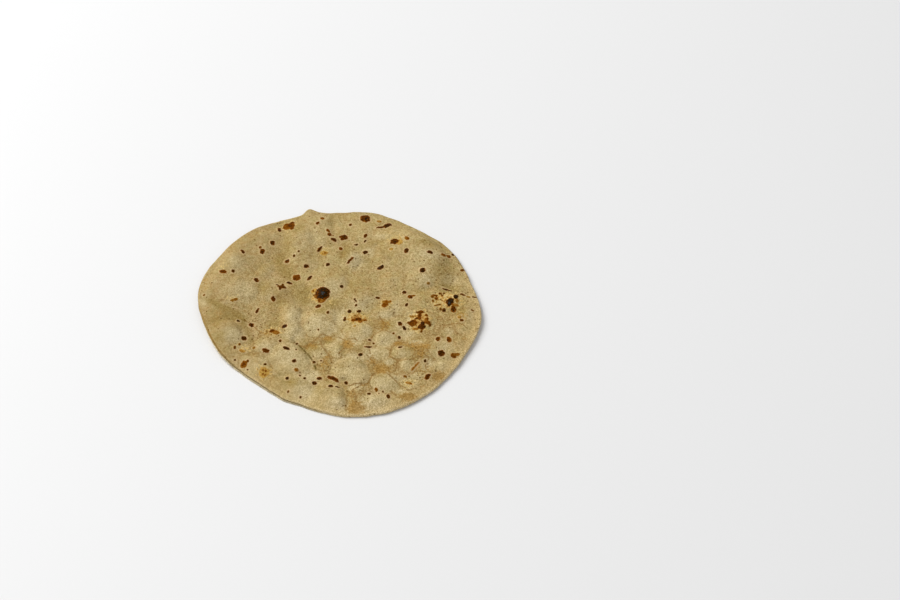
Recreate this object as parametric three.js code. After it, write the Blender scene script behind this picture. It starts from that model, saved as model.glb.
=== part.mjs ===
// A phulka: a thin round of wholewheat dough, rolled out, baked dry and puffed, then let down again.
// The steam has left it as two skins that stick together in the valleys and stand apart in the blisters.
// It is modelled as it lies: flat under its middle, raised a little on its left and at its edges.
// All sizes are millimetres, and +Z is up.
// Its frame has X to the right and Y away from the viewer, with the origin under the middle of its box.

import * as THREE from "three";

// Driving sizes of the round
const RADIUS = 82.6;
const RIM_THICKNESS = 1.7;
const MIDDLE_THICKNESS = 2.3;
const RIM_ROUNDING = 0.9;
const RELIEF_FADE = 9;

// How finely the surface is divided: rings on the upper skin, and every how many of them underneath.
// A ring gains as many places on each step outwards, which keeps the triangles near equal-sided.
const RINGS = 33;
const UNDERSIDE_STEP = 3;
const PLACES_GAINED = 6;

// The rounded edge's two rings, as shares of the rim's thickness
const EDGE_RING_SHARES = [0.68, 0.3];

// Where the rolled edge leaves a true circle: at an angle, over a spread in degrees, by so much outwards
const EDGE_BULGES = [
  { at: 16, spread: 9, out: -1.1 },
  { at: 42, spread: 7, out: 0.6 },
  { at: 59, spread: 7, out: -0.9 },
  { at: 80, spread: 6, out: 0.6 },
  { at: 96, spread: 8, out: -3 },
  { at: 107.4, spread: 2, out: 3.7 },
  { at: 116, spread: 7, out: -2 },
  { at: 144, spread: 9, out: 1.2 },
  { at: 174, spread: 12, out: 2.7 },
  { at: 196, spread: 10, out: -3.1 },
  { at: 218, spread: 12, out: -4.1 },
  { at: 238, spread: 14, out: -8.7 },
  { at: 262, spread: 9, out: -4.6 },
  { at: 281, spread: 7, out: -1.3 },
  { at: 318, spread: 14, out: -0.9 },
  { at: 338, spread: 9, out: -1 },
  { at: 357, spread: 10, out: 2.2 },
];

// The bread's left side rises and then lies level again: in a direction, between two distances, by a height
const LEFT_RISE = { angle: 175, start: 44, end: 70, high: 2.4 };

// Its other edges lift gently beyond straight lines
const EDGE_LIFTS = [
  { angle: 5, from: 56, slope: 0.06, softness: 12 },
  { angle: 107, from: 66, slope: 0.16, softness: 8 },
  { angle: 315, from: 66, slope: 0.02, softness: 8 },
];

// Blisters, where the upper skin stands off the lower one: middle, half width, half depth, turn and height.
// A full one has steep sides and a flat top, a slack one is a low cushion.
const BLISTERS = [
  { x: 43, y: 44, wide: 35, deep: 31, turn: -12, high: 3.2, full: 1.6 },
  { x: 50, y: 35, wide: 16, deep: 22, turn: -8, high: 2.9, full: 1.6 },
  { x: 38, y: 60, wide: 18, deep: 13, turn: -30, high: 2.6, full: 1.2 },
  { x: 3, y: 36, wide: 8, deep: 13, turn: 0, high: 1.3, full: 1.2 },
  { x: -14, y: 62, wide: 20, deep: 15, turn: -10, high: 1.6, full: 1.1 },
  { x: -27, y: 46, wide: 14, deep: 26, turn: 8, high: 2.3, full: 1.1 },
  { x: -49, y: 55, wide: 14, deep: 10, turn: 35, high: 1, full: 1.1 },
  { x: -8, y: 18, wide: 14, deep: 16, turn: 0, high: 2.2, full: 1.2 },
  { x: -44, y: 25, wide: 7, deep: 12, turn: -40, high: 1.1, full: 1.1 },
  { x: -57, y: 10, wide: 15, deep: 11, turn: 10, high: 1.7, full: 1.2 },
  { x: -72, y: 32, wide: 14, deep: 18, turn: -20, high: 1.4, full: 1.1 },
  { x: -41, y: 8, wide: 12, deep: 9, turn: 0, high: 1.7, full: 1.2 },
  { x: -28, y: -11, wide: 9, deep: 15, turn: 0, high: 2.1, full: 1.3 },
  { x: -12, y: -13, wide: 11, deep: 14, turn: 22, high: 2.2, full: 1.4 },
  { x: 12, y: 8, wide: 14, deep: 10, turn: 0, high: 0.9, full: 1.1 },
  { x: 27, y: -3, wide: 7, deep: 6, turn: -20, high: 0.9, full: 1.3 },
  { x: -25, y: -43, wide: 14, deep: 15, turn: 40, high: 1.4, full: 1.6 },
  { x: -40, y: -33, wide: 7, deep: 7, turn: 0, high: 0.9, full: 1.4 },
  { x: -9.8, y: -36.7, wide: 6, deep: 6, turn: 0, high: 0.9, full: 1.7 },
  { x: -0.8, y: -31.5, wide: 6.3, deep: 5.3, turn: 0, high: 0.8, full: 1.6 },
  { x: 10.6, y: -50, wide: 11.8, deep: 11.3, turn: 0, high: 1.5, full: 1.9 },
  { x: 12, y: -19, wide: 9, deep: 9, turn: 0, high: 0.8, full: 1.3 },
  { x: 28.7, y: -23.7, wide: 7.7, deep: 7.5, turn: 0, high: 0.9, full: 1.6 },
  { x: 38, y: -13, wide: 9, deep: 9, turn: 0, high: 0.8, full: 1.2 },
  { x: 27.3, y: -35.3, wide: 5.3, deep: 5, turn: 0, high: 0.7, full: 1.6 },
  { x: 39.2, y: -34.3, wide: 6.3, deep: 4.8, turn: 0, high: 0.7, full: 1.6 },
  { x: 41, y: -43, wide: 5, deep: 5, turn: 0, high: 0.7, full: 1.6 },
  { x: 46.7, y: -51.3, wide: 4.5, deep: 4, turn: 0, high: 0.5, full: 1.5 },
  { x: 29.4, y: -57.5, wide: 9, deep: 8, turn: -25, high: 1.1, full: 1.6 },
  { x: 44, y: -57, wide: 6.5, deep: 4.5, turn: -15, high: 0.7, full: 1.5 },
  { x: 25.2, y: -71.7, wide: 10.5, deep: 7.5, turn: 8, high: 1.1, full: 1.4 },
  { x: -2, y: -67, wide: 11.3, deep: 12.5, turn: 0, high: 1.3, full: 1.9 },
  { x: -20, y: -61, wide: 14, deep: 9, turn: -20, high: 0.9, full: 1.2 },
  { x: -46, y: -50, wide: 8, deep: 11, turn: 35, high: 1, full: 1.3 },
  { x: 62, y: -30, wide: 9, deep: 9, turn: 0, high: 1, full: 1.4 },
  { x: 62, y: -42, wide: 7, deep: 6, turn: 30, high: 0.7, full: 1.3 },
  { x: 75, y: -8, wide: 7, deep: 10, turn: 5, high: 0.9, full: 1.2 },
  { x: 64, y: 7, wide: 10, deep: 9, turn: 0, high: 1.1, full: 1.3 },
  { x: 72, y: 20, wide: 7, deep: 7, turn: 20, high: 0.6, full: 1.2 },
  { x: 50, y: -9, wide: 9, deep: 10, turn: 0, high: 1.1, full: 1.3 },
  { x: -66, y: -26, wide: 12, deep: 14, turn: 30, high: 0.5, full: 1.2 },
  { x: -11, y: 9.5, wide: 6, deep: 6.5, turn: 0, high: 2.2, full: 1.2 },
];

// Creases where the skin has folded as it sank: a path, a half width and a depth
const CREASES = [
  { wide: 2, deep: 1.3, path: [[-24, -29], [-18.4, -34.3], [-15.2, -38.2], [-11.6, -43.4], [-10.3, -47.8]] },
  { wide: 2, deep: 0.8, path: [[-10.3, -47.8], [-3.7, -51], [3, -55], [7, -57.5]] },
  { wide: 2.6, deep: 1.4, path: [[7, -57.5], [8.9, -60.7], [8.8, -67.7], [10, -78]] },
  { wide: 6, deep: 2, path: [[-40, 38], [-37, 31], [-33, 24], [-26, 13], [-22, 3]] },
  { wide: 3.6, deep: 1.9, path: [[-80, 0], [-68, -7], [-58, -13], [-53, -20], [-50, -29]] },
  { wide: 1.8, deep: 0.8, path: [[-76, -2.5], [-69.4, -6], [-64.6, -7.7], [-60, -10.6], [-55.5, -15]] },
  { wide: 4.5, deep: 1.6, path: [[-78, -18], [-68, -15], [-60, -12]] },
  { wide: 3.4, deep: 1.1, path: [[-38, -41], [-33, -47], [-29, -53], [-24, -58]] },
  { wide: 2.2, deep: 0.9, path: [[20, 51], [24, 46], [29, 39]] },
  { wide: 3, deep: 0.9, path: [[-10, 80], [-9, 71], [-8, 60]] },
  { wide: 5, deep: 1.2, path: [[62, 52], [66, 40], [65, 22]] },
  { wide: 3, deep: 0.8, path: [[36, 15], [46, 15], [55, 18]] },
  { wide: 2.5, deep: 0.3, path: [[-21, -6], [-19, -16], [-17, -26]] },
];

// A shallow dish that has sunk in the largest blister's left side
const SUNKEN_DISH = { x: 15, y: 28, radius: 18, deep: 1.9 };

// The slack skin's gentle unevenness all over, as crossed waves: wavelengths and heights
const WAVES = [
  { length: 41, high: 0.34 },
  { length: 29, high: 0.24 },
  { length: 19, high: 0.13 },
  { length: 13, high: 0.08 },
  { length: 9, high: 0.05 },
];
const GOLDEN_ANGLE = Math.PI * (3 - Math.sqrt(5));

const FULL_TURN = 360;
const radians = THREE.MathUtils.degToRad;

// A bell curve of height one, by the distance from its middle in spreads
function bell(spreads) {
  return Math.exp(-0.5 * spreads * spreads);
}

// The edge's distance from the middle at an angle
function edgeRadius(angle) {
  const degrees = THREE.MathUtils.euclideanModulo(THREE.MathUtils.radToDeg(angle), FULL_TURN);
  return EDGE_BULGES.reduce((radius, bulge) => {
    const apart = Math.abs(degrees - bulge.at);
    return radius + bulge.out * bell(Math.min(apart, FULL_TURN - apart) / bulge.spread);
  }, RADIUS);
}

// Nothing before zero, then a soft start into a straight slope of one
function softRamp(distance, softness) {
  if (distance <= 0) return 0;
  return distance < softness ? (distance * distance) / (2 * softness) : distance - softness / 2;
}

// How far a place lies from the middle in the direction of an angle
function towards(x, y, angle) {
  return x * Math.cos(radians(angle)) + y * Math.sin(radians(angle));
}

// How far the underside stands above the table
function undersideHeight(x, y) {
  const left = towards(x, y, LEFT_RISE.angle);
  const rise = LEFT_RISE.high * THREE.MathUtils.smoothstep(left, LEFT_RISE.start, LEFT_RISE.end);
  return EDGE_LIFTS.reduce((height, lift) => {
    return height + lift.slope * softRamp(towards(x, y, lift.angle) - lift.from, lift.softness);
  }, rise);
}

// One blister's height at a place, from its top in the middle down to nothing at its outline
function blisterHeight(blister, x, y) {
  const turn = radians(blister.turn);
  const dx = x - blister.x;
  const dy = y - blister.y;
  const across = (dx * Math.cos(turn) + dy * Math.sin(turn)) / blister.wide;
  const along = (dy * Math.cos(turn) - dx * Math.sin(turn)) / blister.deep;
  const outwards = Math.min(1, Math.hypot(across, along));
  return blister.high * (1 - outwards ** (2 * blister.full)) ** 2;
}

// All blisters together: the root of summed cubes runs neighbours into each other without a sharp valley
function blisteredHeight(x, y) {
  return Math.cbrt(BLISTERS.reduce((sum, blister) => sum + blisterHeight(blister, x, y) ** 3, 0));
}

// The distance from a place to a crease's path
function distanceToPath(path, x, y) {
  const place = new THREE.Vector3(x, y, 0);
  const nearest = new THREE.Vector3();
  const piece = new THREE.Line3();
  let least = Infinity;
  for (let i = 1; i < path.length; i++) {
    piece.start.set(path[i - 1][0], path[i - 1][1], 0);
    piece.end.set(path[i][0], path[i][1], 0);
    piece.closestPointToPoint(place, true, nearest);
    least = Math.min(least, nearest.distanceTo(place));
  }
  return least;
}

// How deep the creases are at a place
function creaseDepth(x, y) {
  return CREASES.reduce((depth, crease) => {
    return depth + crease.deep * bell((Math.SQRT2 * distanceToPath(crease.path, x, y)) / crease.wide);
  }, 0);
}

// How deep the sunken dish is at a place
function dishDepth(x, y) {
  const outwards = Math.min(1, Math.hypot(x - SUNKEN_DISH.x, y - SUNKEN_DISH.y) / SUNKEN_DISH.radius);
  return SUNKEN_DISH.deep * (1 - outwards * outwards) ** 2;
}

// The waves cross at golden-angle turns, so that they never line up
function waveHeight(x, y) {
  return WAVES.reduce((height, wave, i) => {
    const turn = i * GOLDEN_ANGLE;
    const one = Math.sin(((x * Math.cos(turn) + y * Math.sin(turn)) * 2 * Math.PI) / wave.length + i);
    const other = Math.sin(((y * Math.cos(turn) - x * Math.sin(turn)) * 2 * Math.PI) / wave.length + 2 * i);
    return height + wave.high * (one + other + 1);
  }, 0);
}

// The upper skin's relief above the two skins' own thickness, which it never cuts into
function reliefHeight(x, y) {
  return Math.max(0, blisteredHeight(x, y) + waveHeight(x, y) - creaseDepth(x, y) - dishDepth(x, y));
}

// The upper skin: the two skins' own thickness at the edge, and the relief that fades in from there
function topHeight(x, y) {
  const fromEdge = edgeRadius(Math.atan2(y, x)) - Math.hypot(x, y);
  const inside = THREE.MathUtils.smoothstep(fromEdge, 0, RELIEF_FADE);
  const thickness = THREE.MathUtils.lerp(RIM_THICKNESS, MIDDLE_THICKNESS, inside);
  return undersideHeight(x, y) + thickness + inside * reliefHeight(x, y);
}

// A ring of places round the bread, by its number from the middle, pushed in from the edge by an inset
function ring(number, inset, heightAt) {
  const count = Math.max(1, PLACES_GAINED * number);
  return Array.from({ length: count }, (_, i) => {
    const angle = (2 * Math.PI * i) / count;
    const distance = (number / RINGS) * (edgeRadius(angle) - inset);
    const x = distance * Math.cos(angle);
    const y = distance * Math.sin(angle);
    return new THREE.Vector3(x, y, heightAt(x, y));
  });
}

// All rings in order: the upper skin from its middle out, the rounded edge, then the underside back in
function surfaceRings() {
  const rings = [];
  for (let number = 0; number <= RINGS; number++) {
    rings.push(ring(number, RIM_ROUNDING, topHeight));
  }
  for (const share of EDGE_RING_SHARES) {
    rings.push(ring(RINGS, 0, (x, y) => undersideHeight(x, y) + share * RIM_THICKNESS));
  }
  for (let number = RINGS; number >= 0; number -= UNDERSIDE_STEP) {
    rings.push(ring(number, RIM_ROUNDING, undersideHeight));
  }
  return rings;
}

// The triangles between two neighbouring rings, walking round both at once, whatever their counts
function stitch(before, beforeStart, after, afterStart) {
  const triangles = [];
  const a = after.length;
  const b = before.length;
  const aSteps = a > 1 ? a : 0;
  const bSteps = b > 1 ? b : 0;
  let i = 0;
  let j = 0;
  while (i < aSteps || j < bSteps) {
    if (j >= bSteps || (i < aSteps && (i + 1) * b <= (j + 1) * a)) {
      triangles.push(afterStart + (i % a), afterStart + ((i + 1) % a), beforeStart + (j % b));
      i++;
    } else {
      triangles.push(afterStart + (i % a), beforeStart + ((j + 1) % b), beforeStart + (j % b));
      j++;
    }
  }
  return triangles;
}

// The closed skin of the bread, moved so that its box is centred on the origin
function breadGeometry() {
  const rings = surfaceRings();
  const triangles = [];
  let start = 0;
  for (let k = 1; k < rings.length; k++) {
    const next = start + rings[k - 1].length;
    triangles.push(...stitch(rings[k - 1], start, rings[k], next));
    start = next;
  }
  const geometry = new THREE.BufferGeometry().setFromPoints(rings.flat());
  geometry.setIndex(triangles);
  geometry.computeVertexNormals();
  geometry.computeBoundingBox();
  const middle = geometry.boundingBox.getCenter(new THREE.Vector3());
  return geometry.translate(-middle.x, -middle.y, 0);
}

const bakedDough = new THREE.MeshStandardMaterial({ color: 0xc2a673, roughness: 0.85, metalness: 0 });

const phulka = new THREE.Mesh(breadGeometry(), bakedDough);
phulka.name = "phulka";

const part = new THREE.Group();
part.add(phulka);

export default part;
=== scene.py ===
# %% [markdown]
# # A phulka on a pale table
# A phulka is a thin round of wholewheat dough that is rolled out, baked dry and puffed over the fire.
# When it comes off, the steam leaves it and it sinks back into low blisters, creases and a soft wavy edge.
# This notebook takes the plain round that was packed as its frame, models the same bread again with a fine
# skin, gives it a baked finish with brown and black marks, and lights it on a table.

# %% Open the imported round
import math

import bmesh
import bpy
import numpy as np
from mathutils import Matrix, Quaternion, Vector


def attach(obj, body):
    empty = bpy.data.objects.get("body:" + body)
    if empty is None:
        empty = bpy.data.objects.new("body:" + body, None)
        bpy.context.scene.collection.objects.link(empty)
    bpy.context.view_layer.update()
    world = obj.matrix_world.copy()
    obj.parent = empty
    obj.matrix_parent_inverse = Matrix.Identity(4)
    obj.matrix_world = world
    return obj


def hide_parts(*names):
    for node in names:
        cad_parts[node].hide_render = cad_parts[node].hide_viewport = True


MM_PER_METRE = 1000
# keeps a division by nothing away
TINY = 1e-9

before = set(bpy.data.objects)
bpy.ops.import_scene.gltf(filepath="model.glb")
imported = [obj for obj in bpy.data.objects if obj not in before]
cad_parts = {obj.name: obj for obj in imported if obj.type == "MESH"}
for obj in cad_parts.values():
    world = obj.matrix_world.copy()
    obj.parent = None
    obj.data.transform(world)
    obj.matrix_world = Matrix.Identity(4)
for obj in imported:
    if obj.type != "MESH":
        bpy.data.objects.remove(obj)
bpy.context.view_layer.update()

# %% [markdown]
# ## The rolled outline
# A rolling pin never leaves a true circle. The edge is one radius plus a few soft bulges and dents, each a
# bell curve over the angle round the bread. It could also be a drawn curve, but a formula gives the edge at
# any angle, so the skin can be as fine as it likes. All lengths here are millimetres until the very end.

# %% Set the outline
RADIUS = 82.6
# angle and spread in degrees, reach outwards
EDGE_BULGES = [
    (16, 9, -1.1), (42, 7, 0.6), (59, 7, -0.9), (80, 6, 0.6), (96, 8, -3), (107.4, 2, 3.7), (116, 7, -2),
    (144, 9, 1.2), (174, 12, 2.7), (196, 10, -3.1), (218, 12, -4.1), (238, 14, -8.7), (262, 9, -4.6),
    (281, 7, -1.3), (318, 14, -0.9), (338, 9, -1), (357, 10, 2.2),
]


def bell(spreads):
    """A bell curve of height one, by the distance from its middle in spreads."""
    return np.exp(-0.5 * spreads * spreads)


def bell_at(angle, at, spread):
    """A bell curve over the angle round the bread, with its middle and spread in degrees."""
    apart = np.abs(np.degrees(angle) % 360 - at)
    return bell(np.minimum(apart, 360 - apart) / spread)


def edge_radius(angle):
    """How far the edge is from the middle at an angle."""
    return sum((out * bell_at(angle, at, spread) for at, spread, out in EDGE_BULGES), start=RADIUS)


around = np.radians(np.arange(0, 360, 0.5))
outline = edge_radius(around)[:, None] * np.stack([np.cos(around), np.sin(around)], 1)
middle = (outline.min(0) + outline.max(0)) / 2
print("outline:", np.round(np.ptp(outline, axis=0), 1), "mm, its middle at", np.round(middle, 2))

# %% [markdown]
# ## The blank
# The skin needs small triangles of one size everywhere, because every blister is pushed out of it later.
# A grid would leave steps at the edge, and a fan of rings has slivers in its middle. A hexagon of six
# triangles, split evenly again and again, has neither. It is then extruded into a closed slab, and the
# upright sides are cut so that the edge can be rounded.

# %% Split a hexagon and give it thickness
SECTORS = 6
SPLIT_ROUNDS = 3
SPLIT_CUTS = 4
RIM_CUTS = 3


def make_blank():
    """A slab on a hexagon, from height 0 to height 1, with both faces split into small triangles."""
    slab = bmesh.new()
    bmesh.ops.create_circle(slab, cap_ends=True, cap_tris=True, segments=SECTORS, radius=1)
    for _ in range(SPLIT_ROUNDS):
        bmesh.ops.subdivide_edges(slab, edges=slab.edges[:], cuts=SPLIT_CUTS, use_grid_fill=True)
    made = bmesh.ops.extrude_face_region(slab, geom=slab.faces[:], use_keep_orig=True)["geom"]
    upper = [item for item in made if isinstance(item, bmesh.types.BMVert)]
    bmesh.ops.translate(slab, verts=upper, vec=(0, 0, 1))
    upright = [edge for edge in slab.edges if edge.verts[0].co.z != edge.verts[1].co.z]
    bmesh.ops.subdivide_edges(slab, edges=upright, cuts=RIM_CUTS, use_grid_fill=True)
    bmesh.ops.recalc_face_normals(slab, faces=slab.faces[:])
    return slab


blank = make_blank()
bread_mesh = bpy.data.meshes.new("phulka_crust")
blank.to_mesh(bread_mesh)
blank.free()
corners = np.zeros(3 * len(bread_mesh.vertices))
bread_mesh.vertices.foreach_get("co", corners)
corners = corners.reshape(-1, 3)
print("blank:", len(corners), "points,", len(bread_mesh.polygons), "faces")

# %% [markdown]
# ## A soft random height
# Real dough is uneven at every size. Blender's own noise works in a shader, but here the unevenness has to
# move points, so a small one is made with numpy: random heights on a square lattice, joined smoothly. A
# fixed seed gives the same lumps each time.

# %% Make a soft noise
LATTICE = 64
NOISE_ORIGIN = 300


def soft_noise(x, y, size, seed, origin=NOISE_ORIGIN):
    """A smooth random height from -1 to 1, with lumps of about this size."""
    lattice = np.random.default_rng(seed).uniform(-1, 1, (LATTICE, LATTICE))
    across, up = (x + origin) / size, (y + origin) / size
    column, row = np.floor(across).astype(int), np.floor(up).astype(int)
    u, v = across - column, up - row
    u, v = u * u * (3 - 2 * u), v * v * (3 - 2 * v)
    left, right = column % LATTICE, (column + 1) % LATTICE
    low, high = row % LATTICE, (row + 1) % LATTICE
    near = lattice[low, left] * (1 - u) + lattice[low, right] * u
    far = lattice[high, left] * (1 - u) + lattice[high, right] * u
    return near * (1 - v) + far * v


print("lattice:", LATTICE, "by", LATTICE, "heights")

# %% [markdown]
# ## From hexagon to round
# Each point of the hexagon keeps its share of the way from the middle to the edge, and its place along its
# side becomes an angle. The edge is a half ellipse with a slight wobble. On the lower left the two skins
# have parted a little, so the edge there has a groove, and the lower skin shows below the upper one.

# %% Lay the points out in a round
RIM_ROUNDING = 0.9
EDGE_WOBBLE = {"size": 5.5, "seed": 4, "origin": 200}
EDGE_WOBBLE_OUT = 0.28
# where the skins have parted, and how far each part of the edge goes in or out there
SKINS_PART = {"at": 232, "spread": 24}
UPPER_SKIN_IN, GROOVE_IN, LOWER_SKIN_OUT = 0.3, 0.9, 0.7


def round_places(hex_x, hex_y, level):
    """The x and y for points of the hexagon at a level of 0 to 1 up the edge."""
    sector_turn = 2 * math.pi / SECTORS
    facing = np.arange(SECTORS) * sector_turn
    reach = hex_x[:, None] * np.cos(facing) + hex_y[:, None] * np.sin(facing)
    sector = reach.argmax(1)
    share = reach.max(1) / math.cos(sector_turn / 2)
    along = hex_y * np.cos(facing[sector]) - hex_x * np.sin(facing[sector])
    angle = facing[sector] + sector_turn * along / np.maximum(share, TINY)
    wobble = EDGE_WOBBLE_OUT * soft_noise(RADIUS * np.cos(angle), RADIUS * np.sin(angle), **EDGE_WOBBLE)
    parted = bell_at(angle, **SKINS_PART)
    inset = RIM_ROUNDING * (1 - np.sqrt(np.maximum(0, 1 - (2 * level - 1) ** 2)))
    inset = inset + parted * UPPER_SKIN_IN * (level > 0.5)
    inset = inset + parted * GROOVE_IN * (level == 0.5)
    inset = inset - parted * LOWER_SKIN_OUT * (level < 0.5)
    distance = share * (edge_radius(angle) + wobble - inset)
    return distance * np.cos(angle), distance * np.sin(angle)


level = corners[:, 2].copy()
x, y = round_places(corners[:, 0], corners[:, 1], level)
angle = np.arctan2(y, x)
from_edge = edge_radius(angle) - np.hypot(x, y)
print("round:", round(np.ptp(x), 1), "by", round(np.ptp(y), 1), "mm")

# %% [markdown]
# ## How it lies
# The bread rests flat under its middle. Its left side rises and then lies level again. The other edges lift
# a little, where they dried as they cooled: each lift starts softly and goes on as a straight slope.

# %% Bend the edges up
LEFT_RISE = {"angle": 175, "start": 44, "end": 70, "high": 2.4}
# angle, distance where it starts, slope, softness
EDGE_LIFTS = [(5, 56, 0.06, 12), (107, 66, 0.16, 8), (315, 66, 0.02, 8)]


def turned(x, y, angle=0):
    """The same places in a frame that is turned by an angle in degrees."""
    cosine, sine = math.cos(math.radians(angle)), math.sin(math.radians(angle))
    return x * cosine + y * sine, y * cosine - x * sine


def smooth_step(value, start, end):
    """From 0 at the start to 1 at the end, with soft ends."""
    share = np.clip((value - start) / (end - start), 0, 1)
    return share * share * (3 - 2 * share)


def soft_ramp(distance, softness):
    """Nothing before zero, then a soft start into a straight slope of one."""
    soft = distance * distance / (2 * softness)
    return np.where(distance <= 0, 0, np.where(distance < softness, soft, distance - softness / 2))


def underside_height(x, y):
    """How far the underside stands above the table."""
    leftwards = turned(x, y, LEFT_RISE["angle"])[0]
    height = LEFT_RISE["high"] * smooth_step(leftwards, LEFT_RISE["start"], LEFT_RISE["end"])
    for angle, start, slope, softness in EDGE_LIFTS:
        height = height + slope * soft_ramp(turned(x, y, angle)[0] - start, softness)
    return height


base = underside_height(x, y)
print("the left edge stands", round(float(base[x.argmin()]), 1), "mm up")

# %% [markdown]
# ## Blisters and creases
# Steam lifts the upper skin where the two skins haven't stuck. Each blister is a cushion on a turned oval:
# a full one has steep sides and a flat top, a slack one is low and round. Sculpting by hand would do as
# well, but a list of cushions can be read, moved and tuned. Creases are grooves along short paths, the
# largest blister has sunk in a dish, and a few crossed waves slacken the rest.

# %% List the blisters and creases
# x, y, half width, half depth, turn, height, fullness
BLISTERS = [
    (43, 44, 35, 31, -12, 3.2, 1.6), (50, 35, 16, 22, -8, 2.9, 1.6), (38, 60, 18, 13, -30, 2.6, 1.2),
    (3, 36, 8, 13, 0, 1.3, 1.2), (-14, 62, 20, 15, -10, 1.6, 1.1), (-27, 46, 14, 26, 8, 2.3, 1.1),
    (-49, 55, 14, 10, 35, 1, 1.1), (-8, 18, 14, 16, 0, 2.2, 1.2), (-44, 25, 7, 12, -40, 1.1, 1.1),
    (-57, 10, 15, 11, 10, 1.7, 1.2), (-72, 32, 14, 18, -20, 1.4, 1.1), (-41, 8, 12, 9, 0, 1.7, 1.2),
    (-28, -11, 9, 15, 0, 2.1, 1.3), (-12, -13, 11, 14, 22, 2.2, 1.4), (12, 8, 14, 10, 0, 0.9, 1.1),
    (27, -3, 7, 6, -20, 0.9, 1.3), (-25, -43, 14, 15, 40, 1.4, 1.6), (-40, -33, 7, 7, 0, 0.9, 1.4),
    (-9.8, -36.7, 6, 6, 0, 0.9, 1.7), (-0.8, -31.5, 6.3, 5.3, 0, 0.8, 1.6),
    (10.6, -50, 11.8, 11.3, 0, 1.5, 1.9), (12, -19, 9, 9, 0, 0.8, 1.3), (28.7, -23.7, 7.7, 7.5, 0, 0.9, 1.6),
    (38, -13, 9, 9, 0, 0.8, 1.2), (27.3, -35.3, 5.3, 5, 0, 0.7, 1.6), (39.2, -34.3, 6.3, 4.8, 0, 0.7, 1.6),
    (41, -43, 5, 5, 0, 0.7, 1.6), (46.7, -51.3, 4.5, 4, 0, 0.5, 1.5), (29.4, -57.5, 9, 8, -25, 1.1, 1.6),
    (44, -57, 6.5, 4.5, -15, 0.7, 1.5), (25.2, -71.7, 10.5, 7.5, 8, 1.1, 1.4),
    (-2, -67, 11.3, 12.5, 0, 1.3, 1.9), (-20, -61, 14, 9, -20, 0.9, 1.2), (-46, -50, 8, 11, 35, 1, 1.3),
    (62, -30, 9, 9, 0, 1, 1.4), (62, -42, 7, 6, 30, 0.7, 1.3), (75, -8, 7, 10, 5, 0.9, 1.2),
    (64, 7, 10, 9, 0, 1.1, 1.3), (72, 20, 7, 7, 20, 0.6, 1.2), (50, -9, 9, 10, 0, 1.1, 1.3),
    (-66, -26, 12, 14, 30, 0.5, 1.2), (-11, 9.5, 6, 6.5, 0, 2.2, 1.2),
]
# half width, depth, path
CREASES = [
    (2, 1.3, [(-24, -29), (-18.4, -34.3), (-15.2, -38.2), (-11.6, -43.4), (-10.3, -47.8)]),
    (2, 0.8, [(-10.3, -47.8), (-3.7, -51), (3, -55), (7, -57.5)]),
    (2.6, 1.4, [(7, -57.5), (8.9, -60.7), (8.8, -67.7), (10, -78)]),
    (6, 2, [(-40, 38), (-37, 31), (-33, 24), (-26, 13), (-22, 3)]),
    (3.6, 1.9, [(-80, 0), (-68, -7), (-58, -13), (-53, -20), (-50, -29)]),
    (1.8, 0.8, [(-76, -2.5), (-69.4, -6), (-64.6, -7.7), (-60, -10.6), (-55.5, -15)]),
    (4.5, 1.6, [(-78, -18), (-68, -15), (-60, -12)]),
    (3.4, 1.1, [(-38, -41), (-33, -47), (-29, -53), (-24, -58)]),
    (2.2, 0.9, [(20, 51), (24, 46), (29, 39)]),
    (3, 0.9, [(-10, 80), (-9, 71), (-8, 60)]),
    (5, 1.2, [(62, 52), (66, 40), (65, 22)]),
    (3, 0.8, [(36, 15), (46, 15), (55, 18)]),
    (2.5, 0.3, [(-21, -6), (-19, -16), (-17, -26)]),
]
SUNKEN_DISH = {"x": 15, "y": 28, "radius": 18, "deep": 1.9}
# length, height
WAVES = [(41, 0.34), (29, 0.24), (19, 0.13), (13, 0.08), (9, 0.05)]
print("blisters:", len(BLISTERS), "and creases:", len(CREASES))

# %% [markdown]
# Neighbouring blisters run into each other through the root of their summed cubes, which is nearly the
# higher of the two, but without a sharp valley. A noise shifts their ovals, so that no outline is regular.

# %% Turn the lists into heights
GOLDEN_ANGLE = math.pi * (3 - math.sqrt(5))
# how a noise shifts the outlines: size of its lumps, reach, seed
BLISTER_WARPS = [(11, 2.2, 51), (4.5, 0.9, 53)]


def shifted(x, y, warps):
    """The same places shifted a little, so that an oval's outline is uneven."""
    shift_x = sum(reach * soft_noise(x, y, size, seed) for size, reach, seed in warps)
    shift_y = sum(reach * soft_noise(x, y, size, seed + 1) for size, reach, seed in warps)
    return x + shift_x, y + shift_y


def cushions(x, y):
    """For each blister its height, and a share from 1 at its middle to 0 at its outline."""
    x, y = shifted(x, y, BLISTER_WARPS)
    for at_x, at_y, wide, deep, turn, high, full in BLISTERS:
        across, along = turned(x - at_x, y - at_y, turn)
        yield high, 1 - np.minimum(1, np.hypot(across / wide, along / deep)) ** (2 * full)


def blistered_height(x, y):
    """All blisters together."""
    return np.cbrt(sum((high * share ** 2) ** 3 for high, share in cushions(x, y)))


def distance_to_path(path, x, y):
    """The distance from each place to a path of straight pieces."""
    least = np.full_like(x, np.inf)
    for (x0, y0), (x1, y1) in zip(path, path[1:]):
        dx, dy = x1 - x0, y1 - y0
        share = np.clip(((x - x0) * dx + (y - y0) * dy) / (dx * dx + dy * dy), 0, 1)
        least = np.minimum(least, np.hypot(x - x0 - share * dx, y - y0 - share * dy))
    return least


def crease_depth(x, y):
    """How deep the creases are."""
    return sum(deep * bell(math.sqrt(2) * distance_to_path(path, x, y) / wide)
               for wide, deep, path in CREASES)


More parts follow.
